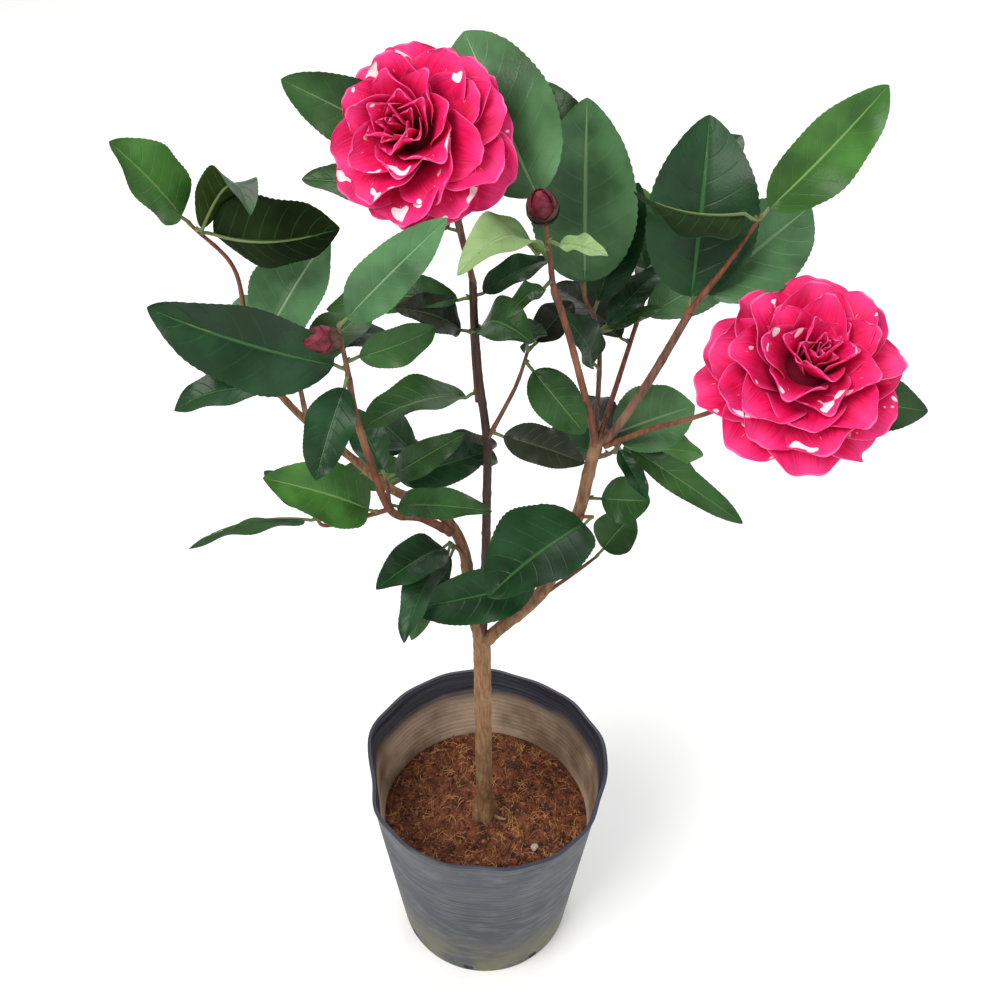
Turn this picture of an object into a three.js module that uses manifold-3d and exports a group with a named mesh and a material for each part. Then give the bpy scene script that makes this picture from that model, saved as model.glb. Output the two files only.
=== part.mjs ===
// A young camellia shrub in a thin nursery pot: a short trunk that forks into three, large glossy
// leaves in loose shoots, two double blooms and two fat buds.
// Millimetres, +Z up, +Y away from the side on which both blooms face. The origin is the centre
// of the pot's flat underside.
import * as THREE from "three";
import { mergeVertices } from "three/addons/utils/BufferGeometryUtils.js";
import Module from "manifold-3d";

const wasm = await Module();
wasm.setup();

// ---- Driving sizes ----

const GAP = 0.3; // clear space between touching pieces

const POT = { height: 187, rim: 85, base: 66, wall: 1.8, floor: 3, sides: 36 };
POT.rings = [0, 20, 70, 115, 150, POT.height]; // heights where the wall has a ring of points
const DENT = { angle: 3.25, spread: 0.28, depth: 5 };
const WOBBLE = { oval: 1.5, turn: 0.6, waves: 0.9, count: 5 }; // mm out of round at the rim
const DRAIN = { count: 8, radius: 4, height: 5.5, reach: 14 };
const SOIL = { top: 122, edge: 117, crown: 48, flat: 16 };

const FORK = [-2, 0, 320];
const TRUNK = { foot: 10, waist: 5.9, top: 5.6, flare: 16, shoulders: 5, swell: 0.12 };
TRUNK.path = [[0, 0, SOIL.top + GAP], [-1, 0, 200], [FORK[0], FORK[1], FORK[2] + 7]];
TRUNK.shares = [0, 0.03, 0.06, 0.085, 0.12, 0.3, 0.5, 0.7, 0.85, 0.95, 1];

const LIGHT = new THREE.Vector3(0, -0.45, 0.9).normalize(); // leaves turn their faces to it
const PETIOLE = { length: 7, radius: 1 };
// Shares of a leaf's length, but for its fold in degrees and how thick it is at its foot. It thins
// towards its tip, and is nowhere along its midrib thinner than its least share.
const LEAF = { width: 0.46, arch: 0.08, fold: 18, thick: 1.3, thins: 0.6, least: 0.01 };
const BLADE_STATIONS = [0.1, 0.28, 0.48, 0.68, 0.86, 1]; // where a blade's width is set, base to tip
const BLADE_SHAPE = { base: 0.55, tip: 0.75 }; // powers: a round base and a drawn-out tip
const TWIG_TIP = 0.9; // radius at the end of every shoot
const TWIG_STEPS = 8;

// The trunk and boughs: centreline, radius at the start and at the tip.
const LIMBS = {
  bough_left: {
    path: [FORK, [-9, 2, 360], [-12, 5, 398], [-21, 6, 424], [-36, 8, 437], [-54, 10, 447],
      [-76, 18, 464], [-99, 22, 487], [-112, 22, 507]],
    radius: [4.2, 1.8],
    steps: 18,
  },
  bough_right: {
    path: [FORK, [9, -2, 338], [31, -6, 371], [44, -6, 405], [53, -4, 443], [57, -2, 472],
      [60, 0, 492]],
    radius: [4.1, 3.4],
    steps: 14,
  },
  leader: {
    path: [FORK, [0, 1, 380], [1, 0, 447], [1, 3, 489], [-3, 6, 528], [-5, 8, 558], [-6, 10, 586]],
    radius: [3, 1.9],
    steps: 14,
  },
  bough_left_front: {
    path: [[-20, 3, 419], [-36, -5, 438], [-52, -13, 452], [-60, -23, 500], [-64, -30, 536],
      [-65, -33, 560]],
    radius: [2.6, 1.6],
    steps: 12,
  },
  bough_bud: {
    path: [[59, -1, 490], [56, -4, 507], [43, -12, 561], [31, -18, 604]],
    radius: [2.1, 1.5],
    steps: 8,
  },
  bough_top_right: {
    path: [[61, 0, 490], [69, -3, 502], [83, -8, 539], [97, -14, 584]],
    radius: [2.5, 1.9],
    steps: 8,
  },
};

// The masses of foliage. Each shoot has its stem's centreline, the stem's radius at its foot, and
// its leaves as rows of [place along the stem, heading, rise, blade length, turn, width, arch]:
// heading, rise and turn in degrees, turn rolls the face about the midrib, width and arch are
// shares of the length.
const SHOOTS = {
  foliage_left_top: {
    stem: [[-112, 22, 508], [-122, 22, 548], [-124, 20, 587], [-141, 20, 611]],
    radius: 1.7,
    leaves: [[1, -155, 60, 50, 10, 0.7, 0.04], [0.97, -48, 31, 56, -60, 0.42, 0.32],
      [0.95, -3, 5, 62, -110, 0.72, -0.14], [0.25, 40, 45, 64, 0, 0.66, 0.04],
      [0.03, -165, -5, 48, 0, 0.45, 0.2]],
  },
  foliage_left: {
    stem: [[-65, -33, 561], [-66, -36, 580], [-67, -36, 592]],
    radius: 1.5,
    leaves: [[0.15, -173, 26, 88, -48, 0.48, 0.06], [1, -2, 48, 70, 25, 0.36, 0.05],
      [0.3, 26, 6, 40, 40, 0.5, 0.12], [0.05, -112, -40, 46, 0, 0.54, 0.05]],
    bud: { along: 0.75, heading: 188, rise: 12, length: 18 },
  },
  foliage_left_low: {
    stem: [[-54, -16, 455], [-85, -25, 452], [-91, -28, 462]],
    radius: 1.5,
    leaves: [[0.1, -158, 38, 68, -10, 0.52, 0.1], [0.95, -160, 2, 62, -80, 0.2, -0.1],
      [1, 148, 28, 30, 0, 0.45, 0.1]],
  },
  foliage_left_inner: {
    stem: [[-53, -9, 452], [-54, -3, 468]],
    radius: 1.4,
    leaves: [[0.9, -10, 42, 52, 25, 0.36, 0.08], [0.8, 20, 5, 54, 20, 0.46, 0.08],
      [0, -32, 24, 66, 0, 0.3, 0.06], [0.9, 115, 15, 44, 0, 0.5, 0.06]],
  },
  foliage_centre: {
    stem: [[-4, 9, 514], [-6, 14, 540], [-7, 16, 572]],
    radius: 1.5,
    leaves: [[0.05, -148, 5, 62, 25, 0.5, 0.1], [0.65, -165, 30, 38, 0, 0.6, 0.12],
      [0.75, -45, 12, 36, 0, 0.8, 0.25], [1, 172, -10, 70, 0, 0.32, 0.1],
      [1, 30, 10, 40, 0, 0.4, 0.1]],
  },
  foliage_centre_right: {
    stem: [[3, 3, 494], [16, 8, 522], [22, 12, 542]],
    radius: 1.4,
    leaves: [[0.9, -38, -36, 42, 20, 0.62, 0.06], [1, -95, 66, 26, 0, 0.6, 0.1],
      [1, 40, 28, 28, 0, 0.7, 0.1], [0.02, -12, -14, 46, 10, 0.5, 0.1]],
  },
  foliage_bud: {
    stem: [[31, -18, 605], [29, -20, 620], [26, -16, 640]],
    radius: 1.4,
    leaves: [[1, 119, 36, 84, -20, 0.62, 0.04], [0.5, -140, 10, 46, 15, 0.6, 0.28],
      [0.6, -40, 10, 26, 0, 0.4, 0.1], [0, -130, -5, 26, 0, 0.4, 0.2]],
    bud: { along: 0.9, heading: -110, rise: 60, length: 20 },
  },
  foliage_right_inner: {
    stem: [[59, 1, 494], [60, 18, 533], [56, 22, 556], [50, 24, 570], [46, 50, 598]],
    radius: 1.5,
    leaves: [[0.3, -160, 60, 40, 0, 0.55, 0.1], [0.47, 40, 25, 44, 0, 0.36, 0.1],
      [0.47, 20, 12, 30, 0, 0.3, 0.1], [0.57, 60, 50, 62, 0, 0.46, 0.1],
      [0.67, 92, 66, 88, -10, 0.62, 0.04], [1, 114, 58, 59, 0, 0.54, 0.1]],
  },
  foliage_top_right: {
    stem: [[97, -14, 585], [110, -17, 612], [122, -14, 634]],
    radius: 1.7,
    leaves: [[1, -178, 14, 52, -135, 0.72, 0.08], [0, 83, 62, 82, 0, 0.66, 0.05],
      [1, 25, 42, 70, 30, 0.46, 0.05], [0.1, 33, 25, 66, 10, 0.7, 0.05]],
  },
  foliage_right_low: {
    stem: [[62, 2, 492], [73, 2, 490]],
    radius: 1.3,
    leaves: [[0.1, 15, 12, 46, 10, 0.85, 0.06], [0.95, -26, -23, 73, 15, 0.24, 0.05],
      [0.6, -50, -38, 30, 0, 0.4, 0.05]],
  },
  foliage_heart: {
    stem: [[53, -7, 441], [60, -12, 446]],
    radius: 1.2,
    leaves: [[1, -140, -8, 70, 18, 0.8, 0.06]],
  },
  foliage_low_centre: {
    stem: [[39, -9, 390], [36, -13, 395]],
    radius: 1.2,
    leaves: [[0.9, -167, -3, 76, -25, 0.44, 0.06]],
  },
  foliage_left_front: {
    stem: [[-14, 2, 403], [-20, 0, 413]],
    radius: 1.3,
    leaves: [[1, -131, 10, 54, 0, 0.5, 0.1], [0.9, -116, -24, 58, 30, 0.4, 0.1],
      [0.6, -134, -54, 58, 0, 0.3, 0.1]],
  },
  foliage_right_back: {
    stem: [[55, 0, 446], [59, 5, 444]],
    radius: 1.2,
    leaves: [[1, 0, -4, 28, 20, 1, 0.05]],
  },
  foliage_right_twig: {
    stem: [[36, -4, 373], [55, 12, 374], [70, 24, 377]],
    radius: 1.4,
    leaves: [[0.95, 30, 44, 29, 0, 1, 0.05]],
  },
};

// The blooms: the twig's centreline, which runs on to the bloom's centre, the way the bloom faces,
// its radius as size, and the leaves round it, rooted behind its petals.
const BLOOMS = {
  bloom_left: {
    stem: [[-6, 10, 587], [-14, 15, 619], [-20, 8, 652]],
    centre: [-27, -8, 672],
    faces: [-18, 40], // degrees to the right of straight ahead, and up
    size: 40,
    leaves: [[0.72, 170, 24, 70, -30, 0.46, 0.05], [0.43, 175, 8, 64, 0, 0.42, 0.05]],
  },
  bloom_right: {
    stem: [[66, -3, 491], [86, -10, 508], [109, -18, 524], [137, -34, 553]],
    centre: [144, -52, 577],
    faces: [0, 60],
    size: 45,
    leaves: [[0.76, 0, -9, 74, 20, 0.45, 0.05]],
  },
};

// The back of the crown fills out by a seeded rule: each shoot has its stem, how many leaves it
// carries, how far they tilt up or down in degrees, and its seed.
const BACK_SHOOTS = {
  foliage_back_top: {
    stem: [[-6, 12, 584], [-14, 50, 600], [-22, 78, 612]], count: 7, tilt: 15, seed: 43,
  },
  foliage_back_right: {
    stem: [[62, 1, 496], [83, 46, 543], [100, 90, 575]], count: 7, tilt: 0, seed: 19,
  },
  foliage_back_left: {
    stem: [[-99, 24, 490], [-105, 47, 502], [-110, 72, 508]], count: 7, tilt: -10, seed: 24,
  },
  foliage_back_low: {
    stem: [[-38, 10, 440], [-40, 42, 430], [-42, 76, 424]], count: 6, tilt: -25, seed: 60,
  },
  foliage_back_side: {
    stem: [[59, 1, 478], [76, 46, 443], [90, 90, 420]], count: 7, tilt: -30, seed: 23,
  },
};
const GROWTH = { turn: 137.5, spread: 62, rise: 20, length: 64, radius: 1.6, first: 0.3 };
GROWTH.jitter = 20; // degrees
GROWTH.vary = 0.3; // share of the length
const CROWN = { low: [-185, -130, 330], high: [240, 175, 745] }; // the space the leaves keep to
const TOUCH = 3; // mm3 of a leaf inside a limb that still counts as its stalk

// A bloom is a globe scalloped in bands, flatter behind, with a ring of open petals round it.
const GLOBE = { bands: 9, core: 0.86, depth: 0.82, back: 0.45, scallop: 0.07 };
const PETAL = { count: 9, tilt: 97, width: 0.8, cup: 0.2, thick: 1.4 };
PETAL.rows = [[0.6, 0.85], [0.8, 1], [0.94, 0.75], [1, 0.35]]; // share of length, share of width

const FINISH = {
  pot: ["#555a69", 0.55],
  soil: ["#6e3c28", 0.95],
  bark: ["#8f6c4c", 0.85],
  leaves: ["#2f5f34", 0.4],
  petals: ["#c81a50", 0.6],
};

// ---- Geometry helpers ----

const vector = (p) => new THREE.Vector3(...p);
const curveOf = (points) => new THREE.CatmullRomCurve3(points.map(vector), false, "catmullrom", 0.5);
const radians = THREE.MathUtils.degToRad;

// A repeatable number from 0 to 1 for each seed.
function noise(seed) {
  const x = Math.sin(seed * 12.9898) * 43758.5453;
  return x - Math.floor(x);
}

// A three.js geometry as a manifold solid, with its doubled vertices merged.
function solidOf(geometry) {
  geometry.deleteAttribute("normal");
  geometry.deleteAttribute("uv");
  const merged = mergeVertices(geometry, 1e-4);
  const corners = merged.index.array;
  const kept = [];
  for (let i = 0; i < corners.length; i += 3) {
    const [a, b, c] = corners.slice(i, i + 3);
    if (a !== b && b !== c && c !== a) kept.push(a, b, c);
  }
  const vertProperties = merged.attributes.position.array;
  return new wasm.Manifold(new wasm.Mesh({ numProp: 3, vertProperties, triVerts: new Uint32Array(kept) }));
}

// The largest closed body of a solid: loose scraps are dropped and sealed hollows filled.
function mainBody(solid) {
  return solid.decompose().reduce((best, s) => (s.volume() > best.volume() ? s : best));
}

// A closed cylinder lattice of sides by steps whose points place(row, x, z) puts in space. Its
// x, row and z run along the section, the length and the face.
function shaped(sides, steps, place) {
  const geometry = new THREE.CylinderGeometry(1, 1, 1, sides, steps);
  const at = geometry.attributes.position;
  for (let i = 0; i < at.count; i++) {
    const row = Math.round((at.getY(i) + 0.5) * steps);
    const p = place(row, at.getX(i), at.getZ(i));
    at.setXYZ(i, p.x, p.y, p.z);
  }
  return solidOf(geometry);
}

// Places along a curve at the given shares of its length, each with a frame carried along it.
function framesAlong(curve, shares) {
  const first = curve.getTangentAt(0);
  let side = Math.abs(first.x) > 0.9 ? new THREE.Vector3(0, 1, 0) : new THREE.Vector3(1, 0, 0);
  return shares.map((share) => {
    const tangent = curve.getTangentAt(share);
    side = side.clone().addScaledVector(tangent, -side.dot(tangent)).normalize();
    return { at: curve.getPointAt(share), tangent, side, face: side.clone().cross(tangent) };
  });
}

const evenly = (steps) => Array.from({ length: steps + 1 }, (_, i) => i / steps);

// A tube along a smooth curve. radiusAt takes a share of the length and an angle round the tube.
// grow makes it that much fatter and longer at both ends.
function tube(points, radiusAt, sides, shares, grow = 0) {
  const frames = framesAlong(curveOf(points), shares);
  const last = shares.length - 1;
  return shaped(sides, last, (row, x, z) => {
    const { at, tangent, side, face } = frames[row];
    const radius = radiusAt(shares[row], Math.atan2(z, x)) + grow;
    const end = row === 0 ? -grow : row === last ? grow : 0;
    return at
      .clone()
      .addScaledVector(tangent, end)
      .addScaledVector(side, x * radius)
      .addScaledVector(face, z * radius);
  });
}

const taper = ([from, to]) => (share) => from + (to - from) * share;

// The directions of a leaf: along its midrib, out of its upper face, and across.
function leafFrame(heading, rise, turn) {
  const [h, e] = [radians(heading), radians(rise)];
  const along = new THREE.Vector3(Math.cos(e) * Math.cos(h), Math.cos(e) * Math.sin(h), Math.sin(e));
  const face = LIGHT.clone().addScaledVector(along, -LIGHT.dot(along)).normalize();
  face.applyAxisAngle(along, radians(turn));
  return { along, face, across: along.clone().cross(face) };
}

// Half width of a blade as a share of its widest, at share s of its length.
function bladeShape(s) {
  const widest = BLADE_SHAPE.base / (BLADE_SHAPE.base + BLADE_SHAPE.tip);
  if (s >= 1) return 0;
  return (s / widest) ** BLADE_SHAPE.base * ((1 - s) / (1 - widest)) ** BLADE_SHAPE.tip;
}

const STALK_ROWS = 2;
const EDGE_WIDTH = 0.4; // half width that a leaf's tip ends at

// One leaf: a stalk that starts inside the stem at root, and a folded, arched, pointed blade.
function leaf(root, [, heading, rise, length, turn = 0, width = LEAF.width, arch = LEAF.arch]) {
  const { along, face, across } = leafFrame(heading, rise, turn);
  const fold = radians(LEAF.fold);
  return shaped(4, STALK_ROWS + BLADE_STATIONS.length - 1, (row, x, z) => {
    if (row < STALK_ROWS) {
      const p = root.clone().addScaledVector(along, row * PETIOLE.length);
      return p.addScaledVector(across, x * PETIOLE.radius).addScaledVector(face, z * PETIOLE.radius);
    }
    const s = BLADE_STATIONS[row - STALK_ROWS];
    const half = Math.max((length * width * bladeShape(s)) / 2, EDGE_WIDTH);
    const lift = length * arch * 4 * s * (1 - s) + Math.abs(x) * half * Math.sin(fold);
    const thick = Math.max(LEAF.thick * (1 - LEAF.thins * s), LEAF.least * length);
    return root
      .clone()
      .addScaledVector(along, PETIOLE.length + length * s)
      .addScaledVector(across, x * half * Math.cos(fold))
      .addScaledVector(face, lift + (z * thick) / 2);
  });
}

const BUD = { sides: 8, rows: 6, girth: 0.29, from: 0.12, to: 0.96, power: 0.7 };

// A fat bud that starts at root: its radius follows the part of a sine's arch that BUD names.
function bud(root, { heading, rise, length }) {
  const { along, face, across } = leafFrame(heading, rise, 0);
  return shaped(BUD.sides, BUD.rows, (row, x, z) => {
    const share = row / BUD.rows;
    const arch = Math.sin(Math.PI * (BUD.from + (BUD.to - BUD.from) * share));
    const radius = length * BUD.girth * arch ** BUD.power;
    return root
      .clone()
      .addScaledVector(along, share * length)
      .addScaledVector(across, x * radius)
      .addScaledVector(face, z * radius);
  });
}

// ---- The pot, the soil and the trunk ----

// The thin wall is out of round, more so towards the rim, with one dent on the left.
function wobble(angle, z) {
  const rise = (z / POT.height) ** 3;
  const dent = Math.exp(-(((angle - DENT.angle) / DENT.spread) ** 2));
  const oval = WOBBLE.oval * Math.cos(2 * angle + WOBBLE.turn);
  const waves = WOBBLE.waves * Math.sin(WOBBLE.count * angle);
  return rise * (oval + waves - DENT.depth * dent);
}

const potRadius = (z) => POT.base + ((POT.rim - POT.base) * z) / POT.height;

// A closed profile of [radius, height] turned about +Z, then pushed out of round by wobble.
function turned(profile) {
  const points = profile.map(([r, z]) => new THREE.Vector2(r, z));
  const geometry = new THREE.LatheGeometry(points, POT.sides).rotateX(Math.PI / 2);
  const at = geometry.attributes.position;
  for (let i = 0; i < at.count; i++) {
    const [x, y, z] = [at.getX(i), at.getY(i), at.getZ(i)];
    const radius = Math.hypot(x, y);
    if (radius < 1e-6) continue;
    const angle = (Math.atan2(y, x) + 2 * Math.PI) % (2 * Math.PI);
    const scale = 1 + wobble(angle, z) / Math.max(radius, POT.base);
    at.setXY(i, x * scale, y * scale);
  }
  return solidOf(geometry);
}

function makePot() {
  const outside = POT.rings.map((z) => [potRadius(z), z]);
  const inside = POT.rings.map((z) => [potRadius(z) - POT.wall, Math.max(z, POT.floor)]).reverse();
  let pot = turned([[0, 0], ...outside, ...inside, [0, POT.floor]]);
  for (let i = 0; i < DRAIN.count; i++) {
    const hole = new THREE.CylinderGeometry(DRAIN.radius, DRAIN.radius, DRAIN.reach, 10)
      .rotateZ(Math.PI / 2)
      .translate(potRadius(DRAIN.height), 0, DRAIN.height)
      .rotateZ((2 * Math.PI * (i + 0.75)) / DRAIN.count);
    pot = pot.subtract(solidOf(hole));
  }
  return pot;
}

function makeSoil() {
  const bottom = POT.floor + GAP;
  const reach = (z) => potRadius(z) - POT.wall - GAP;
  const side = POT.rings.filter((z) => z > POT.floor && z < SOIL.edge).map((z) => [reach(z), z]);
  return turned([[0, bottom], [reach(bottom) - 1, bottom], ...side, [reach(SOIL.edge), SOIL.edge],
    [SOIL.crown, SOIL.top - 1], [SOIL.flat, SOIL.top], [0, SOIL.top]]);
}

// Round the foot the trunk swells into low root shoulders.
function trunkRadius(share, angle) {
  const height = share * (TRUNK.path.at(-1)[2] - TRUNK.path[0][2]);
  const flare = Math.exp(-((height / TRUNK.flare) ** 3));
  const shoulder = 1 + TRUNK.swell * flare * Math.cos(TRUNK.shoulders * angle);
  return TRUNK.waist + (TRUNK.top - TRUNK.waist) * share + (TRUNK.foot - TRUNK.waist) * flare * shoulder;
}

// ---- Limbs, each cut clear of those before it ----

const cutClear = (solid, others) => mainBody(others.reduce((left, s) => left.subtract(s), solid));

const limbs = { trunk: tube(TRUNK.path, trunkRadius, 10, TRUNK.shares) };
const limbSpace = [tube(TRUNK.path, trunkRadius, 10, TRUNK.shares, GAP)];
for (const [name, { path, radius, steps }] of Object.entries(LIMBS)) {
  limbs[name] = cutClear(tube(path, taper(radius), 7, evenly(steps)), limbSpace);
  limbSpace.push(tube(path, taper(radius), 7, evenly(steps), GAP));
}

// ---- Masses of foliage ----

// Leaves by the seeded rule: they stand round the stem at a fixed turn, spread out from its way.
function grownLeaves({ stem, count, seed, tilt }) {
  const [from, to] = [vector(stem[0]), vector(stem.at(-1))];
  const way = to.sub(from);
  const heading = THREE.MathUtils.radToDeg(Math.atan2(way.y, way.x));
  return Array.from({ length: count }, (_, i) => {
    const swing = Math.cos(radians(i * GROWTH.turn)) * GROWTH.spread;
    const lift = Math.sin(radians(i * GROWTH.turn)) * GROWTH.rise;
    const jitter = noise(seed + i) - 0.5;
    const along = GROWTH.first + ((1 - GROWTH.first) * (i + 1)) / count;
    return [along, heading + swing + GROWTH.jitter * jitter, tilt + lift,
      GROWTH.length * (1 + GROWTH.vary * jitter), GROWTH.jitter * jitter];
  });
}

const inSpace = (p) => CROWN.low.every((low, i) => {
  const value = p.getComponent(i);
  return value > low && value < CROWN.high[i];
});

// A leaf is skipped where it would leave the crown's space or touch a limb or another mass.
function fits(made, row, root, taken) {
  const tip = root.clone().addScaledVector(leafFrame(row[1], row[2], 0).along, row[3]);
  if (!inSpace(tip)) return false;
  if (limbSpace.some((limb) => made.intersect(limb).volume() > TOUCH)) return false;
  return taken.every((mass) => made.minGap(mass, 2 * GAP) >= GAP);
}

function foliage(shoot, taken) {
  const curve = curveOf(shoot.stem);
  const stem = tube(shoot.stem, taper([shoot.radius ?? GROWTH.radius, TWIG_TIP]), 5, evenly(TWIG_STEPS));
  const parts = [stem];
  for (const row of shoot.leaves ?? grownLeaves(shoot)) {
    const root = curve.getPointAt(Math.min(row[0], 1));
    const made = leaf(root, row);
    if (fits(made, row, root, taken)) parts.push(made);
  }
  if (shoot.bud) parts.push(bud(curve.getPointAt(shoot.bud.along), shoot.bud));
  return parts;
}

const joined = (parts) => wasm.Manifold.union(parts);

// ---- Blooms: a full globe of petals round an eye, fused on its short twig ----

function petal(centre, axis, right, angle, length) {
  const up = axis.clone().cross(right);
  const out = right.clone().multiplyScalar(Math.cos(angle)).addScaledVector(up, Math.sin(angle));
  const tilt = radians(PETAL.tilt);
  const along = axis.clone().multiplyScalar(Math.cos(tilt)).addScaledVector(out, Math.sin(tilt));
  const face = axis.clone().addScaledVector(along, -axis.dot(along)).normalize();
  const across = along.clone().cross(face);
  return shaped(4, PETAL.rows.length - 1, (row, x, z) => {
    const [s, spread] = PETAL.rows[row];
    const half = (length * PETAL.width * spread) / 2;
    return centre
      .clone()
      .addScaledVector(along, s * length)
      .addScaledVector(across, x * half)
      .addScaledVector(face, Math.abs(x) * half * PETAL.cup + (z * PETAL.thick) / 2);
  });
}

function bloom({ centre, faces, size }) {
  const [turn, rise] = faces.map(radians);
  const axis = new THREE.Vector3(Math.sin(turn) * Math.cos(rise), -Math.cos(turn) * Math.cos(rise),
    Math.sin(rise));
  const right = new THREE.Vector3(Math.cos(turn), Math.sin(turn), 0);
  const middle = vector(centre);
  const globe = new THREE.SphereGeometry(1, 3 * PETAL.count, GLOBE.bands).rotateX(Math.PI / 2);
  const at = globe.attributes.position;
  for (let i = 0; i < at.count; i++) {
    const p = new THREE.Vector3().fromBufferAttribute(at, i);
    const band = Math.round((Math.acos(THREE.MathUtils.clamp(p.z, -1, 1)) / Math.PI) * GLOBE.bands);
    const lobe = Math.cos(PETAL.count * Math.atan2(p.y, p.x) + band * Math.PI);
    const scallop = 1 + GLOBE.scallop * lobe * Math.hypot(p.x, p.y);
    p.multiplyScalar(size * GLOBE.core * scallop);
    at.setXYZ(i, p.x, p.y, p.z * (p.z > 0 ? GLOBE.depth : GLOBE.back));
  }
  globe.applyMatrix4(
    new THREE.Matrix4().makeBasis(right, axis.clone().cross(right), axis).setPosition(middle),
  );
  const parts = [solidOf(globe)];
  for (let i = 0; i < PETAL.count; i++) {
    const angle = (2 * Math.PI * i) / PETAL.count;
    parts.push(petal(middle, axis, right, angle, size));
  }
  return parts;
}

// ---- Assembly ----

const root = new THREE.Group();

function add(name, solid, [color, roughness]) {
  const { vertProperties, triVerts } = solid.getMesh();
  const geometry = new THREE.BufferGeometry();
  geometry.setAttribute("position", new THREE.BufferAttribute(vertProperties, 3));
  geometry.setIndex(new THREE.BufferAttribute(triVerts, 1));
  geometry.computeVertexNormals();
  const mesh = new THREE.Mesh(geometry, new THREE.MeshStandardMaterial({ color, roughness }));
  mesh.name = name;
  root.add(mesh);
}

add("pot", makePot(), FINISH.pot);
add("soil", makeSoil(), FINISH.soil);
for (const [name, solid] of Object.entries(limbs)) add(name, solid, FINISH.bark);

const masses = [];
function addMass(name, parts, finish) {
  const solid = cutClear(joined(parts), limbSpace);
  masses.push(solid);
  add(name, solid, finish);
}

for (const [name, shoot] of Object.entries(BLOOMS)) {
  const stem = [...shoot.stem, shoot.centre];
  const parts = foliage({ ...shoot, stem }, masses);
  addMass(name, [...parts, ...bloom(shoot)], FINISH.petals);
}
for (const [name, shoot] of Object.entries({ ...SHOOTS, ...BACK_SHOOTS })) {
  addMass(name, foliage(shoot, masses), FINISH.leaves);
}

export default root;
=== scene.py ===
"""A young camellia shrub in a thin nursery pot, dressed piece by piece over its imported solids.

Sizes are in millimetres, as in the solids, and turn into metres where a mesh is made.
"""

from math import atan2, cos, degrees, exp, pi, radians, sin
from types import SimpleNamespace as Sizes

import bpy
import numpy as np
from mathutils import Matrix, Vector, noise


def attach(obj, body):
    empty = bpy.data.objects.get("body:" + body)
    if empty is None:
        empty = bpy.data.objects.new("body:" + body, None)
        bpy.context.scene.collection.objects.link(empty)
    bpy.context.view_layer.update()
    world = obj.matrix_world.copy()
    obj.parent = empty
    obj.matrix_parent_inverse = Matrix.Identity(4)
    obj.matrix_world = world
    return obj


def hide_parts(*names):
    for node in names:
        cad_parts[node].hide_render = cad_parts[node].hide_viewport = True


stage = bpy.context.scene
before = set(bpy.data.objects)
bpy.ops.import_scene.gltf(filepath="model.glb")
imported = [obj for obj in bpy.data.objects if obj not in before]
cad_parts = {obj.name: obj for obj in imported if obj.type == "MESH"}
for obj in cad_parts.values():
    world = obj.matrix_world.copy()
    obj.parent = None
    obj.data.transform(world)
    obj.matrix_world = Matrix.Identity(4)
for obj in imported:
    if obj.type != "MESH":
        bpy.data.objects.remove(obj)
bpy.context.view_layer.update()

# ---- The pot ----
# A nursery pot blown in thin grey-blue plastic. Its soft wall is pushed out of round by the root
# ball and has one dent, and drain notches are punched through the foot of the wall.

POT = Sizes(height=187, rim=85, base=66, wall=1.8, floor=3, sides=240, step=1.5)
POT_OVAL = Sizes(size=1.5, turn=0.6)
POT_WAVES = Sizes(size=0.9, count=5)
POT_RIPPLE = Sizes(size=0.7, count=9, second=0.6, second_count=15)
POT_DENT = Sizes(angle=3.25, spread=0.28, depth=5)
POT_RIBS = Sizes(pitch=4.6, depth=0.28, start=60)
POT_LIP = Sizes(lift=1.4, roll=0.9)
POT_HUB = 0.5
DRAIN = Sizes(count=8, radius=4, height=5.5, reach=14, sides=20)
METRE = 0.001


def tone(code):
    """A web colour as the linear colour that a shader takes."""
    channels = [int(code[i : i + 2], 16) / 255 for i in (1, 3, 5)]
    return (*[c / 12.92 if c <= 0.04045 else ((c + 0.055) / 1.055) ** 2.4 for c in channels], 1)


def round_angles(sides):
    return np.arange(sides) * 2 * pi / sides


def show(name, data):
    """An object of that data, in the scene."""
    made = bpy.data.objects.new(name, data)
    stage.collection.objects.link(made)
    return made


def add_node(tree, kind, values=(), **settings):
    """Adds a node. values pair an input's name or number with a number or a socket."""
    made = tree.nodes.new(kind)
    for setting, value in settings.items():
        setattr(made, setting, value)
    for slot, value in dict(values).items():
        if isinstance(value, bpy.types.NodeSocket):
            tree.links.new(value, made.inputs[slot])
        else:
            made.inputs[slot].default_value = value
    return made


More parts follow.
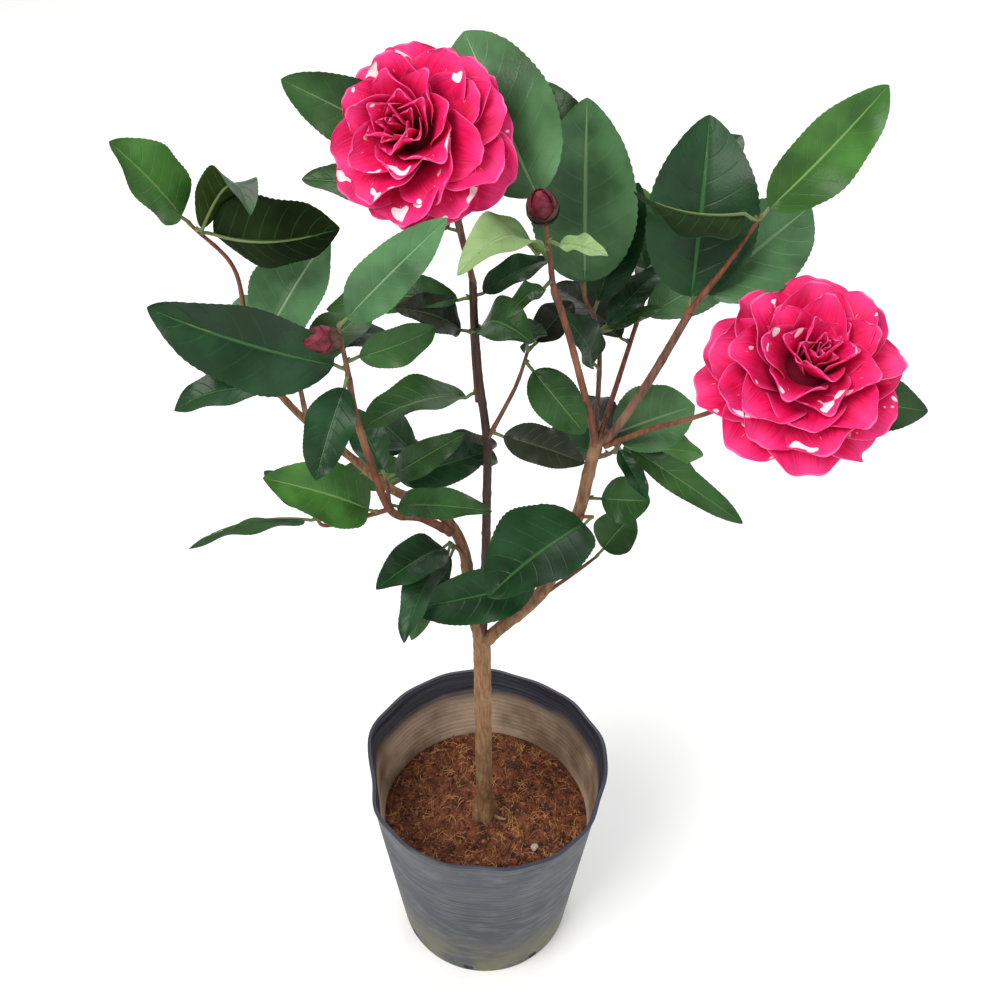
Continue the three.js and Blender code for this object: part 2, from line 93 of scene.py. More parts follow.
class Finish:
    """A material in the making: its shader, and short ways to add the nodes before it."""

    def __init__(self, name, colour, rough, shine=0.5):
        self.material = bpy.data.materials.new(name)
        self.material.use_nodes = True
        self.material.diffuse_color = tone(colour)
        self.tree = self.material.node_tree
        self.shader = self.tree.nodes["Principled BSDF"]
        self.shader.inputs["Base Color"].default_value = tone(colour)
        self.shader.inputs["Roughness"].default_value = rough
        self.shader.inputs["Specular IOR Level"].default_value = shine
        self.place = self.put("TexCoord").outputs["Object"]

    def put(self, kind, values=(), **settings):
        return add_node(self.tree, "ShaderNode" + kind, values, **settings)

    def maths(self, operation, *values):
        return self.put("Math", enumerate(values), operation=operation).outputs[0]

    def times(self, *values):
        return self.maths("MULTIPLY", *values)

    def plus(self, *values):
        return self.maths("ADD", *values)

    def rise(self, value, low, high, start=0.0, end=1.0):
        """A soft step of a value from start to end, as it goes from low to high."""
        values = enumerate((value, low, high, start, end))
        return self.put("MapRange", values, interpolation_type="SMOOTHSTEP").outputs[0]

    def mix(self, share, first, second):
        """The first colour at share 0, the second at 1. Each is a socket, a colour or its code."""
        first, second = [tone(c) if isinstance(c, str) else c for c in (first, second)]
        values = ((0, share), (6, first), (7, second))
        return self.put("Mix", values, data_type="RGBA").outputs[2]

    def grain(self, scale, stretch=(1, 1, 1), detail=4, place=None):
        """A cloudy pattern of one feature to 1/scale metres, squeezed by stretch on each axis."""
        spread = self.put("Mapping", (("Vector", place or self.place), ("Scale", stretch)))
        values = (("Vector", spread.outputs[0]), ("Scale", scale), ("Detail", detail))
        return self.put("TexNoise", values).outputs["Fac"]

    def colour(self, socket):
        self.tree.links.new(socket, self.shader.inputs["Base Color"])

    def mottle(self, scale, detail, low, high, dark, light):
        """Colours it from dark to light by a cloudy pattern."""
        share = self.rise(self.grain(scale, detail=detail), low, high)
        self.colour(self.mix(share, dark, light))

    def rough(self, value, low, high):
        self.tree.links.new(self.rise(value, 0, 1, low, high), self.shader.inputs["Roughness"])

    def pitted(self, scale, deep):
        self.relief(self.grain(scale), deep)

    def relief(self, height, deep):
        """Bumps of that height pattern, deep millimetres from lowest to highest."""
        values = (("Height", height), ("Distance", deep * METRE))
        bumps = self.put("Bump", values)
        self.tree.links.new(bumps.outputs[0], self.shader.inputs["Normal"])


class Gather:
    """Tubes and thin closed shells in millimetres, collected into one mesh."""

    def __init__(self):
        self.points = []
        self.faces = []
        self.slots = []
        self.marks = []
        self.count = 0

    def tube(self, rings, slots=0, marks=None):
        """A closed lattice of rings by sides, each ring anticlockwise about the way it runs."""
        rings = np.asarray(rings, float)
        rows, sides = rings.shape[:2]
        number = self.count + np.arange(rows * sides).reshape(rows, sides)
        after = np.roll(number, -1, axis=1)
        walls = np.stack([number[:-1], after[:-1], after[1:], number[1:]], axis=-1)
        half = sides // 2
        left, right = np.arange(half - 1), sides - 1 - np.arange(half - 1)
        first, last = number[0], number[-1]
        foot = np.stack([first[left], first[right], first[right - 1], first[left + 1]], axis=-1)
        top = np.stack([last[left], last[left + 1], last[right - 1], last[right]], axis=-1)
        self.faces.append(np.concatenate([walls.reshape(-1, 4), foot, top]))
        slots = np.broadcast_to(np.asarray(slots), (rows - 1, sides))
        ends = np.full(half - 1, slots[0, 0]), np.full(half - 1, slots[-1, 0])
        self.slots.append(np.concatenate([slots.ravel(), *ends]))
        self.points.append(rings.reshape(-1, 3))
        marks = np.zeros((rows, sides, 2)) if marks is None else marks
        self.marks.append(np.broadcast_to(marks, (rows, sides, 2)).reshape(-1, 2))
        self.count += rows * sides

    def mesh(self, name, finishes, sharp=50):
        """The mesh in metres, as an object at the origin, smooth but for edges over sharp."""
        points = np.concatenate(self.points) * METRE
        faces = np.concatenate(self.faces)
        made = bpy.data.meshes.new(name)
        made.vertices.add(len(points))
        made.vertices.foreach_set("co", points.ravel())
        made.loops.add(faces.size)
        made.loops.foreach_set("vertex_index", faces.ravel().astype(np.int32))
        made.polygons.add(len(faces))
        made.polygons.foreach_set("loop_start", np.arange(0, faces.size, 4, dtype=np.int32))
        made.polygons.foreach_set("material_index", np.concatenate(self.slots).astype(np.int32))
        made.update(calc_edges=True)
        marks = np.concatenate(self.marks)[faces.ravel()]
        made.uv_layers.new(name="surface").data.foreach_set("uv", marks.ravel())
        made.polygons.foreach_set("use_smooth", np.ones(len(faces), bool))
        made.set_sharp_from_angle(angle=radians(sharp))
        for finish in finishes:
            made.materials.append(finish.material)
        made.validate()
        return show(name, made)


def pot_radius(height):
    return POT.base + (POT.rim - POT.base) * height / POT.height


def turned(profile, sides):
    """Rings of a profile of radius and height about the pot's axis, out of round as the pot is."""
    angle = round_angles(sides)
    radius, height = [np.asarray(v, float)[:, None] for v in zip(*profile)]
    far = (np.clip(height, 0, None) / POT.height) ** 3
    dent = POT_DENT.depth * np.exp(-(((angle - POT_DENT.angle) / POT_DENT.spread) ** 2))
    waves = POT_WAVES.size * np.sin(POT_WAVES.count * angle)
    second = POT_RIPPLE.second * np.sin(POT_RIPPLE.second_count * angle + 4)
    waves += POT_RIPPLE.size * (np.sin(POT_RIPPLE.count * angle + 1) + second)
    push = far * (POT_OVAL.size * np.cos(2 * angle + POT_OVAL.turn) + waves - dent)
    reach = radius + push * np.minimum(radius / POT.base, 1)
    lift = POT_LIP.lift * far**2 * (np.sin(3 * angle + 1) + 0.6 * np.sin(8 * angle))
    return np.stack([reach * np.cos(angle), reach * np.sin(angle), height + lift], axis=-1)


def ribbed(height):
    """How far the wall stands out at a height for its fine moulded ribs."""
    fade = np.clip((height - POT_RIBS.start) / POT_RIBS.start, 0, 1)
    return POT_RIBS.depth * fade * sin(2 * pi * height / POT_RIBS.pitch)


heights = np.linspace(1, POT.height - 1, int(POT.height / POT.step))
underside = [(POT_HUB, 0), (30, 0), (55, 0), (pot_radius(0) - 0.8, 0)]
outer = [(pot_radius(z) + ribbed(z), z) for z in heights]
lip = [(POT.rim + POT_LIP.roll, POT.height - 0.6), (POT.rim + 0.3, POT.height),
       (POT.rim - POT.wall + 0.2, POT.height)]
inner = [(pot_radius(z) - POT.wall + ribbed(z), z) for z in heights[::-1] if z > POT.floor + 2]
inside_floor = [(radius, POT.floor) for radius in (pot_radius(0) - POT.wall - 1, 30, POT_HUB)]
profile = underside + outer + lip + inner + inside_floor
wall_slots = np.zeros((len(profile) - 1, 1), int)
wall_slots[len(underside + outer) : len(underside + outer + lip)] = 2
wall_slots[len(underside + outer + lip) :] = 1

RINGED = (9, 9, 420)
coat = pot_outside = Finish("pot_outside", "#50535b", 0.55, 0.35)
up = coat.put("SeparateXYZ", ((0, coat.place),)).outputs["Z"]
fine_rings = coat.grain(1, RINGED)
fine_rings = coat.times(fine_rings, coat.rise(up, 0.07, 0.15, 0.35))
scuffs = coat.grain(1, (60, 60, 130), detail=10)
clouds = coat.grain(26, detail=6)
blue = coat.mix(coat.rise(fine_rings, 0.15, 0.6), "#2e3139", "#4f5157")
blue = coat.mix(coat.rise(clouds, 0.4, 0.65, 0, 0.6), blue, "#3c4055")
blue = coat.mix(coat.rise(scuffs, 0.42, 0.8, 0, 0.45), blue, "#76777e")
low = coat.rise(up, 0.0, 0.08, 0.85, 0.08)
dust = coat.times(low, coat.rise(clouds, 0.3, 0.6))
coat.colour(coat.mix(dust, blue, "#6e6c4e"))
coat.rough(clouds, 0.42, 0.75)
coat.relief(coat.plus(fine_rings, coat.times(scuffs, 0.3)), 0.5)

coat = pot_inside = Finish("pot_inside", "#33343f", 0.6, 0.35)
up = coat.put("SeparateXYZ", ((0, coat.place),)).outputs["Z"]
fine_rings = coat.grain(1, RINGED)
clouds = coat.grain(22, detail=6)
edge = coat.plus(up, coat.times(clouds, 0.03))
navy = coat.mix(coat.rise(fine_rings, 0.3, 0.7), "#24252e", "#454752")
dusty = coat.mix(coat.rise(clouds, 0.3, 0.65), "#74604c", "#c2ab95")
coat.colour(coat.mix(coat.rise(edge, 0.168, 0.186), dusty, navy))
coat.relief(fine_rings, 0.5)

pot_edge = Finish("pot_edge", "#2c2f3c", 0.45)
pot_edge.pitted(300, 0.2)

wall = Gather()
wall.tube(turned(profile, POT.sides), wall_slots)
pot = wall.mesh("pot_wall", [pot_outside, pot_inside, pot_edge])

punch = Gather()
ring = round_angles(DRAIN.sides)
for i in range(DRAIN.count):
    way = 2 * pi * (i + 0.75) / DRAIN.count
    out = np.array([cos(way), sin(way), 0])
    side = np.array([-sin(way), cos(way), 0])
    rim = DRAIN.radius * (np.cos(ring)[:, None] * side + np.sin(ring)[:, None] * np.array([0, 0, 1]))
    middle = out * pot_radius(DRAIN.height) + np.array([0, 0, DRAIN.height])
    ends = [middle - out * DRAIN.reach / 2 + rim, middle + out * DRAIN.reach / 2 + rim]
    punch.tube(ends, 2)
notches = punch.mesh("punch", [pot_outside, pot_inside, pot_edge])
cut = pot.modifiers.new("notches", "BOOLEAN")
cut.operation = "DIFFERENCE"
cut.object = notches


def settle(piece):
    """Turns what a piece's modifiers make of it into its plain mesh."""
    shown = piece.evaluated_get(bpy.context.evaluated_depsgraph_get())
    plain = bpy.data.meshes.new_from_object(shown)
    piece.modifiers.clear()
    piece.data = plain
    return piece


settle(pot)
bpy.data.objects.remove(notches)
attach(pot, "root")
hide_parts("pot")

# ---- The soil ----
# A moist mix of coir, fine bark and peat, filled to a few centimetres under the rim and washed
# slightly down from the trunk to the wall. Loose crumbs, fibres and one pale pebble lie on it.

SOIL = Sizes(top=122, edge=117, crown=48, flat=16, gap=0.3, sides=150, lumps=1.7)
SOIL_SIDE = [3.3, 20, 45, 70, 95, 113]
SOIL_RINGS = 54
CRUMBS = Sizes(density=150000, smallest=0.35, largest=1.7, seed=7)
CHIPS = Sizes(density=26000, smallest=0.5, largest=1.3, seed=19)
FIBRES = Sizes(density=62000, smallest=0.4, largest=1.25, seed=12)
PEBBLE = Sizes(at=(36.8, -27.8, 119.5), size=(4.2, 3.3, 2.6), sides=24, rings=14)


def soil_reach(height):
    return pot_radius(height) - POT.wall - SOIL.gap


rim_reach = soil_reach(SOIL.edge)
inwards = np.linspace(rim_reach, POT_HUB, SOIL_RINGS)
level = np.interp(inwards, [SOIL.flat, SOIL.crown, rim_reach], [SOIL.top, SOIL.top - 1, SOIL.edge])
sunk = [(POT_HUB, SOIL_SIDE[0]), (40, SOIL_SIDE[0])] + [(soil_reach(z), z) for z in SOIL_SIDE]
rings = turned(sunk + list(zip(inwards, level)), SOIL.sides)
for ring_row in rings[len(sunk) + 1 :]:
    for point in ring_row:
        rough = noise.fractal(Vector(point[:2]).to_3d() / 9, 1, 2, 4)
        point[2] += SOIL.lumps * rough

soil_mix = Finish("soil_mix", "#5e3220", 0.95)
clods = soil_mix.grain(110, detail=8)
specks = soil_mix.grain(620, detail=2)
earth = soil_mix.mix(soil_mix.rise(clods, 0.35, 0.65), "#371a10", "#7a4329")
soil_mix.colour(soil_mix.mix(soil_mix.rise(specks, 0.6, 0.72, 0, 0.7), earth, "#a9683f"))
soil_mix.relief(soil_mix.plus(clods, specks), 1.6)

bed = Gather()
bed.tube(rings)
soil = bed.mesh("soil_bed", [soil_mix])
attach(soil, "root")
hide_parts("soil")

surface = Gather()
surface.tube(rings[len(sunk) + 2 :])
ground = surface.mesh("soil_surface", [soil_mix])
ground.data.polygons.foreach_set("use_smooth", np.zeros(len(ground.data.polygons), bool))


def grain_of(name, size, seed, finish):
    """One rough grain: a small ball pushed about by noise and drawn out to its size."""
    bpy.ops.mesh.primitive_ico_sphere_add(subdivisions=1, radius=1)
    ball = bpy.context.object
    ball.name = name
    for corner in ball.data.vertices:
        push = 1 + 0.5 * noise.noise(corner.co * 1.3 + Vector((seed, 0, 0)))
        corner.co = Vector([c * s * push * METRE for c, s in zip(corner.co, size)])
    ball.data.materials.append(finish.material)
    return ball


def scatter(name, onto, grain, finish, kind, tilt=pi):
    """Geometry nodes that strew turned and scaled copies of a grain over a surface, as a mesh."""
    tree = bpy.data.node_groups.new(name, "GeometryNodeTree")
    sizes = {"Density": kind.density, "Smallest": kind.smallest, "Largest": kind.largest}

    def socket(key, kind_name, way="INPUT"):
        return tree.interface.new_socket(key, in_out=way, socket_type="NodeSocket" + kind_name)

    socket("Geometry", "Geometry")
    given = {key: socket(key, "Float") for key in sizes}
    given["Seed"] = socket("Seed", "Int")
    given["Grain"] = socket("Grain", "Object")
    socket("Geometry", "Geometry", "OUTPUT")

    def put(kind_name, links, **settings):
        return add_node(tree, kind_name, links, **settings)

    asked = tree.nodes.new("NodeGroupInput").outputs
    points = put("GeometryNodeDistributePointsOnFaces",
                 {"Mesh": asked["Geometry"], "Density": asked["Density"], "Seed": asked["Seed"]})
    turn = put("FunctionNodeRandomValue", {0: (-tilt, -tilt, -pi), 1: (tilt, tilt, pi),
                                           "Seed": asked["Seed"]}, data_type="FLOAT_VECTOR")
    scale = put("FunctionNodeRandomValue", {2: asked["Smallest"], 3: asked["Largest"],
                                            "Seed": asked["Seed"]}, data_type="FLOAT")
    shape = put("GeometryNodeObjectInfo", {"Object": asked["Grain"]})
    copies = put("GeometryNodeInstanceOnPoints",
                 {"Points": points.outputs["Points"], "Instance": shape.outputs["Geometry"],
                  "Rotation": turn.outputs[0], "Scale": scale.outputs[1]})
    real = put("GeometryNodeRealizeInstances", {"Geometry": copies.outputs[0]})
    dressed = put("GeometryNodeSetMaterial", {"Geometry": real.outputs[0], "Material": finish.material})
    tree.links.new(dressed.outputs[0], tree.nodes.new("NodeGroupOutput").inputs[0])

    made = show(name, onto.data.copy())
    modifier = made.modifiers.new(name, "NODES")
    modifier.node_group = tree
    for key, value in sizes.items():
        modifier[given[key].identifier] = float(value)
    modifier[given["Seed"].identifier] = kind.seed
    modifier[given["Grain"].identifier] = grain
    settle(made)
    bpy.data.objects.remove(grain)
    return made


crumb_brown = Finish("crumb_brown", "#6b3a25", 0.95)
crumb_brown.mottle(240, 2, 0.35, 0.65, "#3a1c12", "#8d5233")
bark_chip = Finish("bark_chip", "#8a5635", 0.85)
bark_chip.mottle(150, 2, 0.35, 0.65, "#4a281a", "#a06b45")
coir = Finish("coir_fibre", "#a8693c", 0.8)
coir.mottle(120, 1, 0.4, 0.6, "#7a4526", "#c08a58")

crumbs = scatter("soil_crumbs", ground, grain_of("crumb", (1, 0.85, 0.7), 3, crumb_brown),
                 crumb_brown, CRUMBS)
chips = scatter("soil_chips", ground, grain_of("chip", (2.4, 1.1, 0.5), 8, bark_chip), bark_chip,
                CHIPS, 0.5)
strand = Gather()
bend = np.linspace(-1, 1, 6)
middle = np.stack([5 * bend, 1.2 * np.sin(2 * bend), 1.1 * (1 - bend**2)], axis=-1)
corners = np.array([[0, 0.2, 0], [0, 0, 0.2], [0, -0.2, 0], [0, 0, -0.2]])
strand.tube(middle[:, None] + corners[None])
fibres = scatter("soil_fibres", ground, strand.mesh("strand", [coir]), coir, FIBRES, 0.45)
bpy.data.objects.remove(ground)

pale_stone = Finish("pale_stone", "#b9aa99", 0.8)
pale_stone.pitted(500, 0.3)
around = round_angles(PEBBLE.sides)
up_share = np.linspace(0.04, 0.96, PEBBLE.rings) * pi
stone = Gather()
ball = np.stack([np.outer(np.sin(up_share), np.cos(around)), np.outer(np.sin(up_share), np.sin(around)),
                 -np.outer(np.cos(up_share), np.ones(PEBBLE.sides))], axis=-1)
lump = 1 + 0.08 * np.sin(3 * ball[..., :1] + 2) + 0.06 * np.sin(4 * ball[..., 1:2])
stone.tube(ball * lump * np.array(PEBBLE.size) + np.array(PEBBLE.at))
pebble = stone.mesh("soil_pebble", [pale_stone])
for piece in (crumbs, chips, fibres, pebble):
    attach(piece, "root")

# ---- The trunk and boughs ----
# Living wood: a short straight trunk with a swollen foot, tan and finely fissured, that forks into
# a left bough, a right bough and a thin dark leader. Younger wood is smoother and redder.

FORK = (-2, 0, 320)
TRUNK = Sizes(foot=10, waist=5.9, top=5.6, flare=16, shoulders=5, swell=0.12)
TRUNK_PATH = [(0, 0, 121), (-1, 0, 200), (FORK[0], FORK[1], FORK[2] + 7)]
BOUGHS = {  # path, radius at the start and tip, and which bark
    "bough_left": ([FORK, (-9, 2, 360), (-12, 5, 398), (-21, 6, 424), (-36, 8, 437), (-54, 10, 447),
                    (-76, 18, 464), (-99, 22, 487), (-112, 22, 507)], (4.2, 1.8), 1),
    "bough_right": ([FORK, (9, -2, 338), (31, -6, 371), (44, -6, 405), (53, -4, 443), (57, -2, 472),
                     (60, 0, 492)], (4.1, 3.4), 1),
    "leader": ([FORK, (0, 1, 380), (1, 0, 447), (1, 3, 489), (-3, 6, 528), (-5, 8, 558),
                (-6, 10, 586)], (3, 1.9), 2),
    "bough_left_front": ([(-20, 3, 419), (-36, -5, 438), (-52, -13, 452), (-60, -23, 500),
                          (-64, -30, 536), (-65, -33, 560)], (2.6, 1.6), 3),
    "bough_bud": ([(59, -1, 490), (56, -4, 507), (43, -12, 561), (31, -18, 604)], (2.1, 1.5), 3),
    "bough_top_right": ([(61, 0, 490), (69, -3, 502), (83, -8, 539), (97, -14, 584)], (2.5, 1.9), 4),
}
LIMB = Sizes(step=1.4, sides=24, rough=0.07, collar=0.3, collar_reach=4, node_gap=31, node_at=8,
             node_width=1.6, node_size=0.1, ridges=2.2, drawn=7)
ROOTS = Sizes(count=7, start=7, reach=19, radius=1.5, tip=0.4, sides=10, rough=0.2)


def smooth_path(points, step):
    """Places every step along a smooth curve through the points, the first and last included."""
    p = np.array(points, float)
    p = np.vstack([2 * p[0] - p[1], p, 2 * p[-1] - p[-2]])
    t = np.linspace(0, 1, 40, endpoint=False)[:, None]
    dense = []
    for a, b, c, d in zip(p, p[1:], p[2:], p[3:]):
        out, into = (c - a) / 2, (d - b) / 2
        square, cube = 3 * (c - b) - 2 * out - into, 2 * (b - c) + out + into
        dense.append(b + out * t + square * t**2 + cube * t**3)
    dense = np.vstack([*dense, p[-2:-1]])
    run = np.concatenate([[0], np.cumsum(np.linalg.norm(np.diff(dense, axis=0), axis=1))])
    count = max(int(run[-1] / step), 2) + 1
    want = np.linspace(0, run[-1], count)
    return np.stack([np.interp(want, run, dense[:, axis]) for axis in range(3)], axis=-1)


def unit(v):
    return v / np.linalg.norm(v)


def rings_along(places, radii, sides):
    """Round rings about places on a line. radii is one number, one a ring, or one a point."""
    places = np.asarray(places, float)
    ways = np.gradient(places, axis=0)
    side = np.array([0.0, 1, 0]) if abs(unit(ways[0])[0]) > 0.9 else np.array([1.0, 0, 0])
    angle = round_angles(sides)[:, None]
    radii = np.broadcast_to(radii, (len(places),) + np.shape(radii)[1:])
    rings = []
    for place, way, radius in zip(places, ways, radii):
        way = unit(way)
        side = unit(side - way * side.dot(way))
        other = np.cross(way, side)
        circle = np.cos(angle) * side + np.sin(angle) * other
        rings.append(place + np.reshape(radius, (-1, 1)) * circle)
    return np.array(rings)


def knobbly(places, radii, sides, rough, nodes=True):
    """Radii with bark's long ridges, and a slight ring where each old leaf stood."""
    angle = round_angles(sides)
    run = np.concatenate([[0], np.cumsum(np.linalg.norm(np.diff(places, axis=0), axis=1))])
    made = np.empty((len(places), sides))
    for i, (along, radius) in enumerate(zip(run, radii)):
        near = (along % LIMB.node_gap - LIMB.node_at) / LIMB.node_width if nodes else 9
        ring = LIMB.node_size * exp(-(near**2))
        for k, a in enumerate(angle):
            spot = Vector((cos(a) * LIMB.ridges, sin(a) * LIMB.ridges,
                           along / LIMB.drawn)) + Vector(places[0])
            made[i, k] = radius * (1 + ring + rough * noise.fractal(spot, 1, 2.2, 3))
    return made


def bark(name, colour, dark, light, roughness=0.85):
    finish = Finish(name, colour, roughness)
    ridges = finish.grain(1, (520, 520, 90), detail=6)
    patches = finish.grain(45, detail=3)
    wood = finish.mix(finish.rise(ridges, 0.3, 0.7), dark, colour)
    finish.colour(finish.mix(finish.rise(patches, 0.5, 0.8, 0, 0.8), wood, light))
    finish.relief(ridges, 0.5)
    return finish


bark_trunk = bark("bark_trunk", "#96704b", "#6e4e32", "#ae8f6b")
bark_bough = bark("bark_bough", "#8e6748", "#5f4229", "#a98867")
bark_leader = bark("bark_leader", "#45291f", "#2a1a15", "#6b4a3c", 0.7)
bark_red = bark("bark_red", "#80472d", "#54291a", "#9c6a4a", 0.65)
bark_brown = bark("bark_brown", "#7a5241", "#4d3026", "#9c7a66", 0.7)
root_pale = bark("root_pale", "#b59a7c", "#8b7053", "#cdb798")
BARKS = [bark_trunk, bark_bough, bark_leader, bark_red, bark_brown, root_pale]

wood = Gather()
places = smooth_path(TRUNK_PATH, LIMB.step)
tall = places[:, 2] - SOIL.top
flare = np.exp(-((np.clip(tall, 0, None) / TRUNK.flare) ** 3))
radii = np.interp(tall, [0, tall[-1]], [TRUNK.waist, TRUNK.top])
radii = radii + (TRUNK.foot - TRUNK.waist) * flare
grown = knobbly(places, radii, 2 * LIMB.sides, LIMB.rough, nodes=False)
angle = round_angles(grown.shape[1])
grown *= 1 + TRUNK.swell * flare[:, None] * np.cos(TRUNK.shoulders * angle)
grown[-3:] *= np.array([0.98, 0.9, 0.7])[:, None]
wood.tube(rings_along(places, grown, grown.shape[1]), 0)
for path, (start, tip), slot in BOUGHS.values():
    places = smooth_path(path, LIMB.step)
    share = np.linspace(0, 1, len(places))
    run = share * len(places) * LIMB.step
    radii = (start + (tip - start) * share) * (1 + LIMB.collar * np.exp(-run / LIMB.collar_reach))
    grown = knobbly(places, radii, LIMB.sides, LIMB.rough)
    wood.tube(rings_along(places, grown, LIMB.sides), slot)
for i in range(ROOTS.count):
    way = 2.4 * i + 0.4 * sin(5 * i)
    reach = ROOTS.reach * (0.75 + 0.25 * sin(9 * i + 1))
    path = [(ROOTS.start * cos(way), ROOTS.start * sin(way), 127),
            (0.6 * reach * cos(way + 0.15), 0.6 * reach * sin(way + 0.15), 123),
            (reach * cos(way + 0.35), reach * sin(way + 0.35), 119.5)]
    places = smooth_path(path, LIMB.step)
    radii = ROOTS.radius * np.linspace(1, ROOTS.tip, len(places))
    grown = knobbly(places, radii, ROOTS.sides, ROOTS.rough, nodes=False)
    wood.tube(rings_along(places, grown, ROOTS.sides), BARKS.index(root_pale))
woody = wood.mesh("trunk_and_boughs", BARKS)
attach(woody, "root")
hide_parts("trunk", *BOUGHS)

# ---- The twigs ----
# This year's and last year's growth beyond the boughs: thin round shoots, red-brown where young,
# each with a small pointed bud at every leaf's foot. They carry the leaves, buds and blooms.

# Each shoot has its stem's centreline, its radius at the foot, and its leaves as rows of place
# along the stem, heading, rise, blade length, turn, width, arch and tint. Headings, rises and
# turns are in degrees, and width and arch are shares of the length.
SHOOTS = {
    "foliage_left_top": ([(-112, 22, 508), (-122, 22, 548), (-124, 20, 587), (-141, 20, 611)], 1.7, [
        (1, -155, 60, 50, 10, 0.7, 0.04, "bright"), (0.97, -48, 31, 56, -60, 0.42, 0.32, "mid"),
        (0.95, -3, 5, 62, -110, 0.72, -0.14, "deep"), (0.25, 40, 45, 64, 0, 0.66, 0.04, "painted_sheen"),
        (0.03, -165, -5, 48, 0, 0.45, 0.2, "deep")]),
    "foliage_left": ([(-65, -33, 561), (-66, -36, 580), (-67, -36, 592)], 1.5, [
        (0.15, -173, 26, 88, -48, 0.48, 0.06, "deep"), (1, -2, 48, 70, 25, 0.36, 0.05, "painted_sheen"),
        (0.3, 26, 6, 40, 40, 0.5, 0.12, "mid"), (0.05, -112, -40, 46, 0, 0.54, 0.05, "deep")]),
    "foliage_left_low": ([(-54, -16, 455), (-85, -25, 452), (-91, -28, 462)], 1.5, [
        (0.1, -158, 38, 68, -10, 0.52, 0.1, "bright"), (0.95, -160, 2, 62, -80, 0.2, -0.1, "mid"),
        (1, 148, 28, 30, 0, 0.45, 0.1, "deep")]),
    "foliage_left_inner": ([(-53, -9, 452), (-54, -3, 468)], 1.4, [
        (0.9, -10, 42, 52, 25, 0.36, 0.08, "mid"), (0.8, 20, 5, 54, 20, 0.46, 0.08, "deep"),
        (0, -32, 24, 66, 0, 0.3, 0.06, "mid"), (0.9, 115, 15, 44, 0, 0.5, 0.06, "deep")]),
    "foliage_centre": ([(-4, 9, 514), (-6, 14, 540), (-7, 16, 572)], 1.5, [
        (0.05, -148, 5, 62, 25, 0.5, 0.1, "mid"), (0.65, -165, 30, 38, 0, 0.6, 0.12, "brown"),
        (0.75, -45, 12, 36, 0, 0.8, 0.25, "mid"), (1, 172, -10, 70, 0, 0.32, 0.1, "mid"),
        (1, 30, 10, 40, 0, 0.4, 0.1, "deep")]),
    "foliage_centre_right": ([(3, 3, 494), (16, 8, 522), (22, 12, 542)], 1.4, [
        (0.9, -38, -36, 42, 20, 0.62, 0.06, "mid"), (1, -95, 66, 26, 0, 0.6, 0.1, "deep"),
        (1, 40, 28, 28, 0, 0.7, 0.1, "brown"), (0.02, -12, -14, 46, 10, 0.5, 0.1, "brown")]),
    "foliage_bud": ([(31, -18, 605), (29, -20, 620), (26, -16, 640)], 1.4, [
        (1, 119, 36, 84, -20, 0.62, 0.04, "painted_sheen"), (0.5, -140, 10, 46, 15, 0.6, 0.28, "pale"),
        (0.6, -40, 10, 26, 0, 0.4, 0.1, "pale"), (0, -130, -5, 26, 0, 0.4, 0.2, "mid")]),
    "foliage_right_inner": ([(59, 1, 494), (60, 18, 533), (56, 22, 556), (50, 24, 570),
                             (46, 50, 598)], 1.5, [
        (0.3, -160, 60, 40, 0, 0.55, 0.1, "deep"), (0.47, 40, 25, 44, 0, 0.36, 0.1, "deep"),
        (0.47, 20, 12, 30, 0, 0.3, 0.1, "mid"), (0.57, 60, 50, 62, 0, 0.46, 0.1, "deep"),
        (0.67, 92, 66, 88, -10, 0.62, 0.04, "painted_sheen"), (1, 114, 58, 59, 0, 0.54, 0.1, "mid")]),
    "foliage_top_right": ([(97, -14, 585), (110, -17, 612), (122, -14, 634)], 1.7, [
        (1, -178, 14, 52, -135, 0.72, 0.08, "deep"), (0, 83, 62, 82, 0, 0.66, 0.05, "deep"),
        (1, 25, 42, 70, 30, 0.46, 0.05, "bright"), (0.1, 33, 25, 66, 10, 0.7, 0.05, "painted_sheen")]),
    "foliage_right_low": ([(62, 2, 492), (73, 2, 490)], 1.3, [
        (0.1, 15, 12, 46, 10, 0.85, 0.06, "painted_sheen"), (0.95, -26, -23, 73, 15, 0.24, 0.05, "mid"),
        (0.6, -50, -38, 30, 0, 0.4, 0.05, "deep")]),
    "foliage_heart": ([(53, -7, 441), (60, -12, 446)], 1.2, [
        (1, -140, -8, 70, 18, 0.8, 0.06, "deep")]),
    "foliage_low_centre": ([(39, -9, 390), (36, -13, 395)], 1.2, [
        (0.9, -167, -3, 76, -25, 0.44, 0.06, "deep")]),
    "foliage_left_front": ([(-14, 2, 403), (-20, 0, 413)], 1.3, [
        (1, -131, 10, 54, 0, 0.5, 0.1, "deep"), (0.9, -116, -24, 58, 30, 0.4, 0.1, "deep"),
        (0.6, -134, -54, 58, 0, 0.3, 0.1, "mid")]),
    "foliage_right_back": ([(55, 0, 446), (59, 5, 444)], 1.2, [(1, 0, -4, 28, 20, 1, 0.05, "mid")]),
    "foliage_right_twig": ([(36, -4, 373), (55, 12, 374), (70, 24, 377)], 1.4, [
        (0.95, 30, 44, 29, 0, 1, 0.05, "mid")]),
    "bloom_left": ([(-6, 10, 587), (-14, 15, 619), (-20, 8, 652), (-27, -8, 672)], 1.6, [
        (0.72, 170, 24, 70, -30, 0.46, 0.05, "mid"), (0.43, 175, 8, 64, 0, 0.42, 0.05, "mid")]),
    "bloom_right": ([(66, -3, 491), (86, -10, 508), (109, -18, 524), (137, -34, 553),
                     (144, -52, 577)], 1.6, [
        (0.76, 0, -9, 74, 20, 0.45, 0.05, "mid")]),
}
